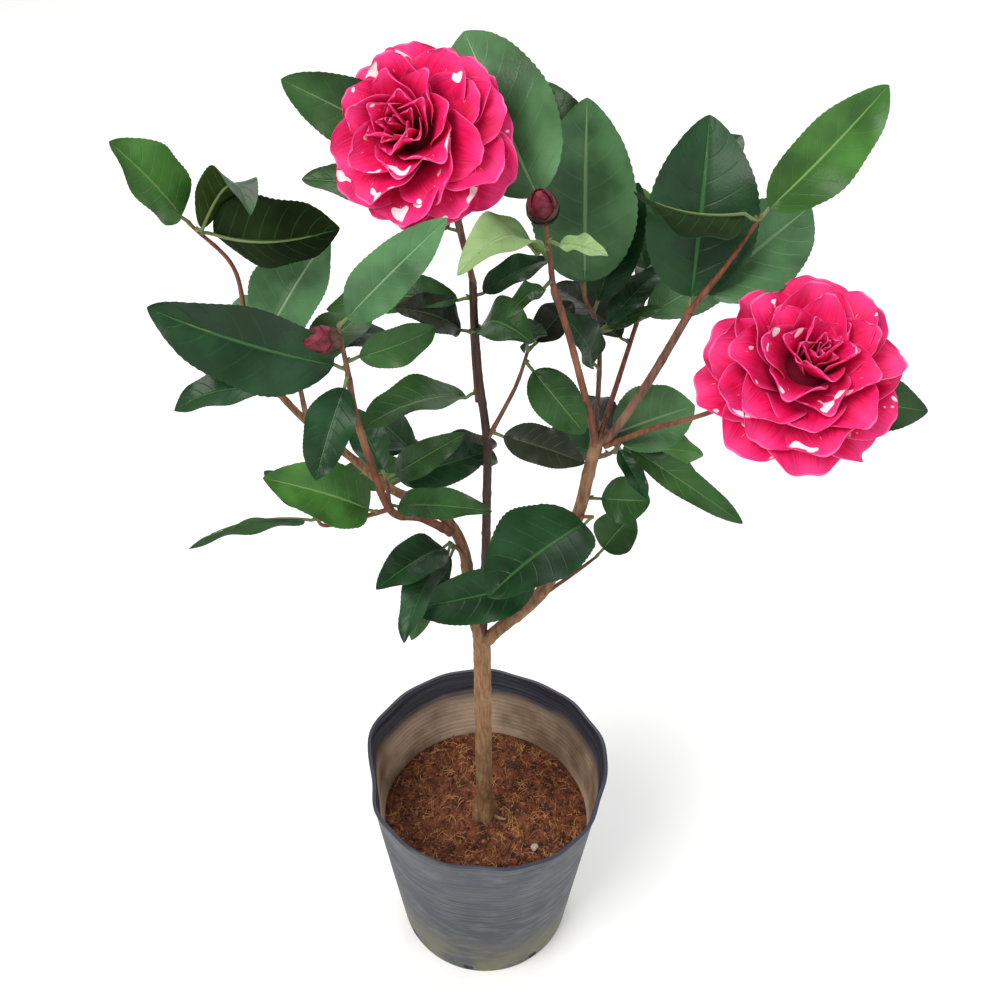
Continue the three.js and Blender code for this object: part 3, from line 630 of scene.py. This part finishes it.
BACK_SHOOTS = {  # stem, how many leaves, their tilt, seed
    "foliage_back_top": ([(-6, 12, 584), (-14, 50, 600), (-22, 78, 612)], 7, 15, 43),
    "foliage_back_right": ([(62, 1, 496), (83, 46, 543), (100, 90, 575)], 7, 0, 19),
    "foliage_back_left": ([(-99, 24, 490), (-105, 47, 502), (-110, 72, 508)], 7, -10, 24),
    "foliage_back_low": ([(-38, 10, 440), (-40, 42, 430), (-42, 76, 424)], 6, -25, 60),
    "foliage_back_side": ([(59, 1, 478), (76, 46, 443), (90, 90, 420)], 7, -30, 23),
}
GROWTH = Sizes(turn=137.5, spread=62, rise=20, length=64, radius=1.6, first=0.3, jitter=20,
               vary=0.3, width=0.46, arch=0.08)
TWIG = Sizes(tip=0.9, sides=12, step=1.6, into=2.5, bud=3.4, rough=0.06, fine=0.5, bud_lean=0.9)
BACK_TINTS = ["deep", "mid", "deep", "bright", "mid", "brown", "painted_sheen"]


def chance(seed):
    """A repeatable number from 0 to 1 for each seed."""
    x = sin(seed * 12.9898) * 43758.5453
    return x - x // 1


for name, (stem, count, tilt, seed) in BACK_SHOOTS.items():
    way = np.subtract(stem[-1], stem[0])
    heading = degrees(atan2(way[1], way[0]))
    rows = []
    for i in range(count):
        swing = cos(radians(i * GROWTH.turn)) * GROWTH.spread
        lift = sin(radians(i * GROWTH.turn)) * GROWTH.rise
        jitter = chance(seed + i) - 0.5
        along = GROWTH.first + (1 - GROWTH.first) * (i + 1) / count
        rows.append((along, heading + swing + GROWTH.jitter * jitter, tilt + lift,
                     GROWTH.length * (1 + GROWTH.vary * jitter), GROWTH.jitter * jitter,
                     GROWTH.width, GROWTH.arch, BACK_TINTS[(i + seed) % len(BACK_TINTS)]))
    SHOOTS[name] = (stem, GROWTH.radius, rows)


def aim(heading, rise):
    h, e = radians(heading), radians(rise)
    return np.array([cos(e) * cos(h), cos(e) * sin(h), sin(e)])


def spot_on(stem, share):
    """The place at a share of a stem's length."""
    fine = smooth_path(stem, TWIG.fine)
    return fine[round(min(share, 1) * (len(fine) - 1))]


twig_green = bark("twig_green", "#6d6a3c", "#4c4a2a", "#8d8a58", 0.6)
twig_wood = Gather()
leaf_feet = {}
for i, (name, (stem, radius, rows)) in enumerate(SHOOTS.items()):
    back = unit(np.subtract(stem[0], stem[1])) * TWIG.into
    places = smooth_path([np.add(stem[0], back), *stem], TWIG.step)
    share = np.linspace(0, 1, len(places))
    radii = radius + (TWIG.tip - radius) * share
    grown = knobbly(places, radii, TWIG.sides, TWIG.rough)
    twig_wood.tube(rings_along(places, grown, TWIG.sides), i % 2)
    leaf_feet[name] = [spot_on(stem, row[0]) for row in rows]
    for foot, row in zip(leaf_feet[name], rows):
        way = unit(aim(row[1], row[2]) + np.array([0, 0, TWIG.bud_lean]))
        point = np.linspace(0, 1, 7)
        girth = 0.9 * np.sin(np.pi * (0.25 + 0.74 * point)) ** 0.8 + 0.05
        twig_wood.tube(rings_along(foot + np.outer(point * TWIG.bud, way), girth, 8), 2)
twigs = twig_wood.mesh("twigs", [bark_red, bark_brown, twig_green])
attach(twigs, "root")

# ---- The leaves ----
# Thick glossy camellia leaves on short stalks, with a fine saw edge, a pale sunken midrib and
# about eight pairs of side veins; the underside is a duller olive. Tints differ from spray to spray,
# and one lighter, bluer tint is a painted sheen standing for light on glossy leaves.

LIGHT = unit(np.array([0, -0.45, 0.9]))
STALK = Sizes(length=7, radius=1, sides=8, under=0.8)
BLADE = Sizes(rows=60, across=11, fold=18, thick=0.5, teeth=24, bite=0.022, base=0.55, tip=0.75,
              groove=0.5, quilt=0.25, veins=8, slant=1.5, wave=1.6, ripples=2.1, curl=0.05, bow=1.3,
              stagger=0.45, vein_width=0.2, groove_width=0.09, narrow=6, least=0.15, thins=0.6)
TINTS = {  # upper face, midrib, underside
    "deep": ("#15391a", "#3f6c3c", "#16260a"),
    "mid": ("#274a20", "#668a50", "#26390f"),
    "bright": ("#3a6928", "#80a65c", "#38561a"),
    # A lighter, bluer green for whole leaves: painted sheen, as light lies on a glossy leaf.
    "painted_sheen": ("#446b43", "#86a97b", "#3c571f"),
    "pale": ("#6f8a58", "#9db384", "#5f7a45"),
    "brown": ("#20281a", "#566040", "#26260f"),
}


def leaf_finish(name, colour, vein, top):
    """A blade's finish, read from its own surface marks: u runs from base to tip, v across."""
    rough, shine = (0.36, 0.22) if top else (0.7, 0.05)
    finish = Finish(name, colour, rough, shine)
    maths, times, plus, rise = finish.maths, finish.times, finish.plus, finish.rise
    marks = finish.put("UVMap", uv_map="surface").outputs[0]
    parts = finish.put("SeparateXYZ", ((0, marks),)).outputs
    along = parts["X"]
    centred = maths("SUBTRACT", parts["Y"], 0.5)
    off = times(maths("ABSOLUTE", centred), 2)
    midrib = rise(off, 0.02, 0.055, 1, 0)
    stagger = times(maths("GREATER_THAN", centred, 0), BLADE.stagger)
    slant = times(maths("POWER", off, BLADE.bow), BLADE.slant)
    phase = maths("SUBTRACT", times(along, BLADE.veins), slant)
    saw = maths("FRACT", plus(phase, plus(stagger, 4)))
    near = maths("ABSOLUTE", maths("SUBTRACT", saw, 0.5))
    veins = times(rise(near, 0.07, 0.0), rise(off, 0.95, 0.6))
    clouds = finish.grain(34, detail=3)
    fine = finish.grain(900, detail=2)
    base = tone(colour)
    dark = (*[c * 0.6 for c in base[:3]], 1)
    light = (*[min(c * 1.45 + 0.004, 1) for c in base[:3]], 1)
    green = finish.mix(rise(clouds, 0.3, 0.7), dark, light)
    lines = maths("MAXIMUM", times(midrib, 0.65), times(veins, 0.09 if top else 0.25))
    finish.colour(finish.mix(lines, green, vein))
    if top:
        finish.rough(clouds, 0.26, 0.44)
    sunk = maths("MAXIMUM", midrib, times(veins, 0.35))
    sunk = times(sunk, -1 if top else 1)
    finish.relief(plus(sunk, times(fine, 0.25)), 0.35)
    return finish


LEAF_FINISHES = []
TINT_SLOT = {}
for tint, (colour, vein, under) in TINTS.items():
    TINT_SLOT[tint] = len(LEAF_FINISHES)
    LEAF_FINISHES.append(leaf_finish("leaf_" + tint, colour, vein, True))
    LEAF_FINISHES.append(leaf_finish("leaf_" + tint + "_under", under, vein, False))
stalk_green = Finish("leaf_stalk", "#5f6f3c", 0.5)
stalk_green.pitted(400, 0.1)
STALK_SLOT = len(LEAF_FINISHES)
LEAF_FINISHES.append(stalk_green)


def leaf_frame(heading, rise, turn):
    """A leaf's way along its midrib, the way its upper face looks, and the way across."""
    along = aim(heading, rise)
    face = unit(LIGHT - along * LIGHT.dot(along))
    across = np.cross(along, face)
    t = radians(turn)
    face = face * cos(t) + across * sin(t)
    return along, face, np.cross(along, face)


def add_leaf(into, foot, row, seed):
    _, heading, rise, length, turn, width, arch, tint = row
    along, face, across = leaf_frame(heading, rise, turn)
    t = np.linspace(0, 1, BLADE.rows)
    s = 0.5 * t + 0.25 * (1 - np.cos(pi * t))
    down = s[:, None]
    widest = BLADE.base / (BLADE.base + BLADE.tip)
    shape = (s / widest) ** BLADE.base * ((1 - s) / (1 - widest)) ** BLADE.tip
    teeth = 1 + BLADE.bite * (1 - 2 * ((s * BLADE.teeth) % 1))
    half = np.maximum(length * width / 2 * shape * teeth, BLADE.least)[:, None]
    x = np.linspace(-1, 1, BLADE.across)[None]
    off = np.abs(x)
    fold = radians(BLADE.fold)
    phase = 6.3 * chance(seed)
    wave = BLADE.wave * np.sin(2 * pi * BLADE.ripples * s + phase)[:, None]
    wave = wave * off**2 * np.sign(x) ** (seed % 2)
    curl = (chance(seed + 0.5) - 0.7) * BLADE.curl * length * down ** 4
    stagger = np.where(x > 0, BLADE.stagger, 0)
    saw = (down * BLADE.veins - off ** BLADE.bow * BLADE.slant + stagger + 4) % 1
    quilt = -BLADE.quilt * np.exp(-(((saw - 0.5) / BLADE.vein_width) ** 2)) * (1 - off) ** 0.5
    groove = -BLADE.groove * np.exp(-((off / BLADE.groove_width) ** 2)) * (1 - down) ** 0.5
    fade = np.clip(half / BLADE.narrow, 0, 1)
    lift = (length * arch * 4 * s * (1 - s))[:, None] + off ** BLADE.bow * half * sin(fold)
    lift = lift + curl + fade * (wave + quilt + groove)
    middle = foot + np.outer(STALK.length + length * s, along)
    sheet = middle[:, None] + (x * half * cos(fold))[..., None] * across + lift[..., None] * face
    thick = BLADE.thick / 2 * (1 - BLADE.thins * s)[:, None, None] * face
    top = sheet + thick
    under = (sheet - thick)[:, ::-1]
    rings = np.concatenate([top, under], axis=1)
    slot = TINT_SLOT[tint]
    sides = BLADE.across
    slots = np.full((1, 2 * sides), slot)
    slots[0, sides : 2 * sides - 1] = slot + 1
    marks = np.empty((len(s), 2 * sides, 2))
    marks[..., 0] = down
    marks[..., 1] = (np.concatenate([x, x[:, ::-1]], axis=1) + 1) / 2
    into.tube(rings, slots, marks)
    ribs = np.linspace(0, STALK.under, 9)
    girth = np.linspace(0.9, 0.25, len(ribs))
    under_lift = length * arch * 4 * ribs * (1 - ribs) - BLADE.groove - 0.2 - 0.8 * girth
    stalk = [foot, foot + 3.5 * along, *(foot + np.outer(STALK.length + length * ribs, along)
                                         + np.outer(under_lift, face))]
    radii = STALK.radius * np.concatenate([[1.1, 0.95], girth])
    into.tube(rings_along(stalk, radii, STALK.sides), STALK_SLOT)


fronts, backs = Gather(), Gather()
seed = 0
for name, (_, _, rows) in SHOOTS.items():
    for foot, row in zip(leaf_feet[name], rows):
        seed += 1
        add_leaf(backs if name in BACK_SHOOTS else fronts, foot, row, seed)
leaves = fronts.mesh("leaves_front", LEAF_FINISHES)
back_leaves = backs.mesh("leaves_back", LEAF_FINISHES)
for piece in (leaves, back_leaves):
    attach(piece, "root")
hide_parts(*[name for name in SHOOTS if name.startswith("foliage") and name not in BACK_SHOOTS])
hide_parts(*BACK_SHOOTS)

# ---- The buds ----
# Two fat flower buds ready to open: overlapping round scales, dark brown at the foot, with the
# crimson of the furled petals showing towards the tip. Each grows in a leaf's angle on its twig.

BUDS = [  # foot on which shoot, place along it, heading, rise, length, share of scales
    ("foliage_left", 0.75, 188, 12, 18, 0.32),
    ("foliage_bud", 0.9, -110, 60, 20, 0.45),
]
SCALE = Sizes(rows=12, across=9, thick=0.5, spread=1.25, hollow=0.08, open=0.2)
SCALE_RINGS = [(0, 0.38), (0.08, 0.62), (0.2, 0.86)]  # from where to where of the bud's length
SCALES_PER_RING = 4
BUD_GIRTH = 0.29
BUD_LAYER = 0.3

bud_scale = Finish("bud_scale", "#4f342a", 0.55, 0.3)
bud_scale.mottle(160, 3, 0.35, 0.7, "#2a1a15", "#5c4030")
bud_scale.pitted(1200, 0.12)
bud_crimson = Finish("bud_crimson", "#8c1c38", 0.5, 0.3)
bud_crimson.mottle(200, 3, 0.3, 0.7, "#4a0a18", "#7c2638")
bud_crimson.pitted(500, 0.2)


def bud_radius(share, length):
    arch = np.sin(pi * (0.12 + 0.84 * np.asarray(share)))
    return length * BUD_GIRTH * arch**0.7


def add_scale(into, foot, frame_ways, length, start, end, angle, slot, layer=0.0):
    """One curved scale that hugs the bud from start to end of its length, about an angle."""
    along, face, across = frame_ways
    t = np.linspace(0, 1, SCALE.rows)[:, None]
    x = np.linspace(-1, 1, SCALE.across)[None]
    width = SCALE.spread * np.sqrt(np.clip(1 - t**3, 0.02, 1)) * (0.65 + 0.35 * np.sin(pi * t))
    a = angle + x * width
    share = start + (end - start) * (t - SCALE.hollow * np.abs(x) ** 2)
    radius = bud_radius(np.clip(share, 0, 1), length)
    sheets = []
    for proud in (SCALE.thick + 0.5 * t, 0.5 * t):
        r = radius + layer + proud + SCALE.open * np.abs(x)
        sheets.append(foot + (share * length)[..., None] * along
                      + (r * np.cos(a))[..., None] * face + (r * np.sin(a))[..., None] * across)
    into.tube(np.concatenate([sheets[0], sheets[1][:, ::-1]], axis=1), slot)


bud_parts = Gather()
for shoot, place, heading, rise, length, cover in BUDS:
    foot = spot_on(SHOOTS[shoot][0], place)
    ways = leaf_frame(heading, rise, 0)
    share = np.linspace(0, 1, 16)
    core = rings_along(foot + np.outer(share * length, ways[0]), bud_radius(share, length), 24)
    bud_parts.tube(core, 1)
    for ring_number, (start, end) in enumerate(SCALE_RINGS):
        for k in range(SCALES_PER_RING):
            angle = 2 * pi * k / SCALES_PER_RING + 0.8 * ring_number
            covered = (start + end) / 2 < cover
            layer = BUD_LAYER * (2 - ring_number)
            add_scale(bud_parts, foot, ways, length, start, end, angle, 0 if covered else 1, layer)
    for k in range(3):
        add_scale(bud_parts, foot, ways, length, 0.4, 1, 2.1 * k + 0.5, 1)
buds = bud_parts.mesh("buds", [bud_scale, bud_crimson])
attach(buds, "root")

# ---- The blooms ----
# Two full double camellia blooms. Broad crimson-pink petals overlap in a spiral from the recurved
# outer ones to a tight eye, with paler edges and a few white splashes near their tips. Each petal
# darkens towards its claw as painted shade, and a thin painted highlight runs along its rim. A small
# dark dome, painted shade, closes the heart between the innermost ones.

BLOOMS = {  # centre, degrees right of straight ahead and up, radius, the eye's place off centre
    "bloom_left": ((-27, -8, 672), (-18, 40), 40, (-0.27, 0.03)),
    "bloom_right": ((144, -52, 577), (0, 60), 45, (0.2, 0.2)),
}
# From the eye outwards: petals, lean at the claw and at the tip in degrees, then as shares of the
# radius the length, half width, fold along the midline and ruffle, and the curl across in degrees.
WHORLS = [
    (4, 3, 4, 0.62, 0.08, 0.12, 0.0, 75),
    (5, 8, 18, 0.7, 0.14, 0.3, 0.008, 66),
    (6, 14, 38, 0.8, 0.22, 0.28, 0.018, 52),
    (7, 24, 58, 0.9, 0.31, 0.2, 0.032, 38),
    (8, 36, 77, 0.96, 0.38, 0.14, 0.045, 26),
    (9, 50, 95, 0.98, 0.42, 0.08, 0.05, 14),
    (9, 66, 112, 0.94, 0.43, 0.03, 0.05, 6),
]
PETAL = Sizes(rows=24, across=17, thick=0.5, seat=0.32, stir=13, twist=30, waves=5,
              vary_length=0.07, vary_width=0.12, claw=0.22, claw_out=0.25, widest=0.6, flick=24,
              flick_from=0.8, notch=0.025, notch_width=0.35, scatter=0.35, spiral=1.9)
SEPAL = Sizes(count=5, length=0.36, width=0.17, rows=10, across=7, bend=1.5, rise=0.2, below=0.1,
              cup=0.35, half_thick=0.4)
# Sizes of the dark dome in each bloom's heart, a piece of painted shade between the innermost petals.
SHADE_DOME = Sizes(radius=0.26, lift=0.7, tall=0.8, sides=16, rings=8)


def petal_finish(name, splash):
    """Petal colour from its own surface marks: u across, v from claw to tip.
    The claw darkens as painted shade, and the rim carries a thin painted highlight.
    """
    finish = Finish(name, "#e8145a", 0.6, 0.25)
    maths, times, rise, mix = finish.maths, finish.times, finish.rise, finish.mix
    marks = finish.put("UVMap", uv_map="surface").outputs[0]
    parts = finish.put("SeparateXYZ", ((0, marks),)).outputs
    off = maths("ABSOLUTE", maths("SUBTRACT", times(parts["X"], 2), 1))
    rim = maths("MAXIMUM", off, parts["Y"])
    streaks = finish.grain(1, (38, 1.6, 1), detail=4, place=marks)
    clouds = finish.grain(50, detail=3)
    # Darker towards the claw: painted shade for the deep gaps between the petals.
    body = mix(rise(parts["Y"], 0.2, 0.85), "#5a0012", "#ee0c60")
    body = mix(rise(clouds, 0.4, 0.7, 0, 0.4), body, "#f6357c")
    body = mix(rise(clouds, 0.5, 0.3, 0, 0.6), body, "#b00030")
    body = mix(rise(streaks, 0.45, 0.7, 0, 0.65), body, "#a80034")
    body = mix(rise(rim, 0.75, 0.98, 0, 0.45), body, "#f8479a")
    # A thin bright pink line on the very rim: a painted highlight where the edge catches light.
    body = mix(rise(rim, 0.972, 0.992, 0, 0.5), body, "#ff86be")
    if splash:
        spots = finish.grain(115, detail=1)
        flecks = finish.grain(1, (16, 3, 1), detail=1, place=marks)
        window = rise(parts["Y"], 0.66, 0.74)
        window = times(window, rise(rim, 0.97, 0.93))
        white = rise(spots, 0.65, 0.665)
        white = maths("MAXIMUM", white, rise(flecks, 0.72, 0.74))
        body = mix(times(white, window), body, "#fff4f8")
    finish.colour(body)
    finish.relief(streaks, 0.3)
    return finish


petal_plain = petal_finish("petal_crimson", False)
petal_splashed = petal_finish("petal_splashed", True)
# The dark crimson of the dome in the heart: painted shade, not a petal's colour.
painted_shade_heart = Finish("painted_shade_heart", "#5e0820", 0.8, 0.1)
sepal_green = Finish("sepal_green", "#56603a", 0.6)
sepal_green.pitted(700, 0.15)


def add_petal(into, seat, axis, right, size, whorl, angle, seed):
    """One petal of a whorl, from its claw on the seat out at an angle about the bloom's axis."""
    _, lean, fall, length, wide, crease, ruffle, curl = whorl
    stir = [2 * chance(seed + 0.17 * k) - 1 for k in range(5)]
    out = right * cos(angle) + np.cross(axis, right) * sin(angle)
    length = size * length * (1 + PETAL.vary_length * stir[0])
    half = size * wide * (1 + PETAL.vary_width * stir[1])
    t = np.linspace(0, 1, PETAL.rows)
    down = t[:, None]
    x = np.linspace(-1, 1, PETAL.across)
    spread = radians(fall - lean + PETAL.stir * stir[2]) * t**1.2
    flick = np.clip((t - PETAL.flick_from) / (1 - PETAL.flick_from), 0, 1) ** 2
    bend = radians(lean) + spread + radians(PETAL.flick) * flick * stir[3]
    way = np.cos(bend)[:, None] * axis + np.sin(bend)[:, None] * out
    inward = np.sin(bend)[:, None] * axis - np.cos(bend)[:, None] * out
    across = np.cross(axis, out)
    turn = (radians(PETAL.twist) * stir[4] * t)[:, None]
    side = np.cos(turn) * across + np.sin(turn) * inward
    inward = np.cos(turn) * inward - np.sin(turn) * across
    step = length / (PETAL.rows - 1)
    run = np.vstack([[0, 0, 0], np.cumsum(way[:-1] * step, axis=0)])
    middle = seat + out * size * PETAL.claw_out * wide + run
    sharp = min(crease / 0.3, 1)
    below = np.clip(t / PETAL.widest, 0, 1)
    beyond = np.clip((t - PETAL.widest) / (1 - PETAL.widest), 0, 1)
    broad = PETAL.claw + (1 - PETAL.claw) * np.sin(pi / 2 * below) ** 1.3
    broad *= half * np.sqrt(1 - ((0.88 + 0.09 * sharp) * beyond) ** 2)
    broad = broad[:, None]
    cup = radians(curl) * (0.7 + 0.3 * down) + 0.02
    flat = broad * np.sin(cup * x) / cup
    deep = broad * (1 - np.cos(cup * x)) / cup
    fold = crease * broad * (np.sqrt(x**2 + 0.01) - 0.1) * down
    margin = np.maximum(np.abs(x)[None], down) ** 4
    round_it = np.arctan2((down - PETAL.widest) * length, broad * x)
    wave = size * ruffle * np.sin(PETAL.waves * round_it + 6.3 * chance(seed + 0.9)) * margin
    lift = deep + fold + wave * down
    notch = PETAL.notch * (1 - sharp) * np.exp(-((x / PETAL.notch_width) ** 2))
    back = length * ((0.045 + 0.05 * sharp) * np.abs(x) ** 2.4 + notch)
    sheet = (middle[:, None] + flat[..., None] * side[:, None] + lift[..., None] * inward[:, None]
             - (back[None] * down ** 3)[..., None] * way[:, None])
    thick = PETAL.thick / 2 * inward[:, None]
    rings = np.concatenate([(sheet + thick)[:, ::-1], sheet - thick], axis=1)
    marks = np.empty(rings.shape[:2] + (2,))
    u = (x + 1) / 2
    marks[..., 0] = np.concatenate([u[::-1], u])
    marks[..., 1] = down
    into.tube(rings, int(wide > 0.15 and chance(seed + 0.2) < 0.5), marks)


blossom = Gather()
for number, (centre, faces, size, eye) in enumerate(BLOOMS.values()):
    turn, rise = [radians(v) for v in faces]
    axis = np.array([sin(turn) * cos(rise), -cos(turn) * cos(rise), sin(rise)])
    right = np.array([cos(turn), sin(turn), 0])
    above = np.cross(axis, right)
    base = np.array(centre) - axis * size * PETAL.seat
    for ring, whorl in enumerate(WHORLS):
        seat = base + (right * eye[0] + above * eye[1]) * size * (1 - ring / (len(WHORLS) - 1))
        for k in range(whorl[0]):
            seed = 100 * number + 10 * ring + k + 1
            place = k + PETAL.scatter * (chance(seed + 0.4) - 0.5)
            angle = 2 * pi * place / whorl[0] + PETAL.spiral * ring + number
            add_petal(blossom, seat, axis, right, size, whorl, angle, seed)
    # The dark dome in the heart, painted shade where the innermost petals would lie in shadow.
    dome = np.linspace(0.05, 0.95, SHADE_DOME.rings) * pi
    heart = [base + axis * size * SHADE_DOME.radius * (SHADE_DOME.lift - SHADE_DOME.tall * cos(a)) for a in dome]
    blossom.tube(rings_along(heart, size * SHADE_DOME.radius * np.sin(dome), SHADE_DOME.sides), 3)
    for k in range(SEPAL.count):
        angle = 2 * pi * k / SEPAL.count
        out = right * cos(angle) + above * sin(angle)
        t = np.linspace(0, 1, SEPAL.rows)
        bent = SEPAL.bend * t
        path = base - axis * size * SEPAL.below
        path = path + np.outer(np.sin(bent) * SEPAL.length * size, out)
        path = path + np.outer((1 - np.cos(bent)) * SEPAL.rise * size, axis)
        wide = SEPAL.width * size * np.sqrt(np.clip(1 - t**2.5, 0.02, 1))
        x = np.linspace(-1, 1, SEPAL.across)
        side = np.cross(axis, out)
        sheet = path[:, None] + (wide[:, None] * x)[..., None] * side
        sheet = sheet + (SEPAL.cup * wide[:, None] * x**2)[..., None] * axis
        thick = SEPAL.half_thick * axis
        shell = np.concatenate([(sheet + thick)[:, ::-1], sheet - thick], axis=1)
        blossom.tube(shell, 2)
blooms = blossom.mesh("blooms", [petal_plain, petal_splashed, sepal_green, painted_shade_heart])
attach(blooms, "root")
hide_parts(*BLOOMS)

# ---- The studio ----
# A plain pale floor, soft light from above and the left, and a camera that looks down on the
# plant from the side that its blooms face.

FLOOR = Sizes(side=8.0, colour="#fbfbfa")
CAMERA = Sizes(at=(0, -0.486, 0.915), down=43.9, lens=43.2, shift=0.015)
LAMPS = {  # place, size, power, colour
    "key": ((-1.1, -0.9, 2.2), 1.3, 44, (1, 0.98, 0.95)),
    "fill": ((1.6, -1.2, 1.3), 2.0, 13, (0.94, 0.97, 1)),
    "back": ((0.3, 1.8, 1.9), 1.6, 20, (1, 1, 1)),
}

floor_finish = Finish("studio_floor", FLOOR.colour, 0.9)
bpy.ops.mesh.primitive_plane_add(size=FLOOR.side, location=(0, 0, -0.0002))
floor = bpy.context.object
floor.name = "floor"
floor.data.materials.append(floor_finish.material)

for name, (at, size, power, colour) in LAMPS.items():
    lamp = bpy.data.lights.new(name, "AREA")
    lamp.size = size
    lamp.energy = power
    lamp.color = colour
    holder = show(name, lamp)
    holder.location = at
    holder.rotation_euler = (Vector((0, 0, 0.4)) - Vector(at)).to_track_quat("-Z", "Y").to_euler()

world = bpy.data.worlds.new("studio")
world.use_nodes = True
sky = world.node_tree.nodes["Background"].inputs
sky["Color"].default_value = (1, 1, 1, 1)
sky["Strength"].default_value = 0.62
stage.world = world
stage.view_settings.view_transform = "Standard"

lens = bpy.data.cameras.new("camera")
lens.lens = CAMERA.lens
lens.shift_x = CAMERA.shift
camera = show("camera", lens)
camera.location = CAMERA.at
camera.rotation_euler = (radians(90 - CAMERA.down), 0, 0)
stage.camera = camera
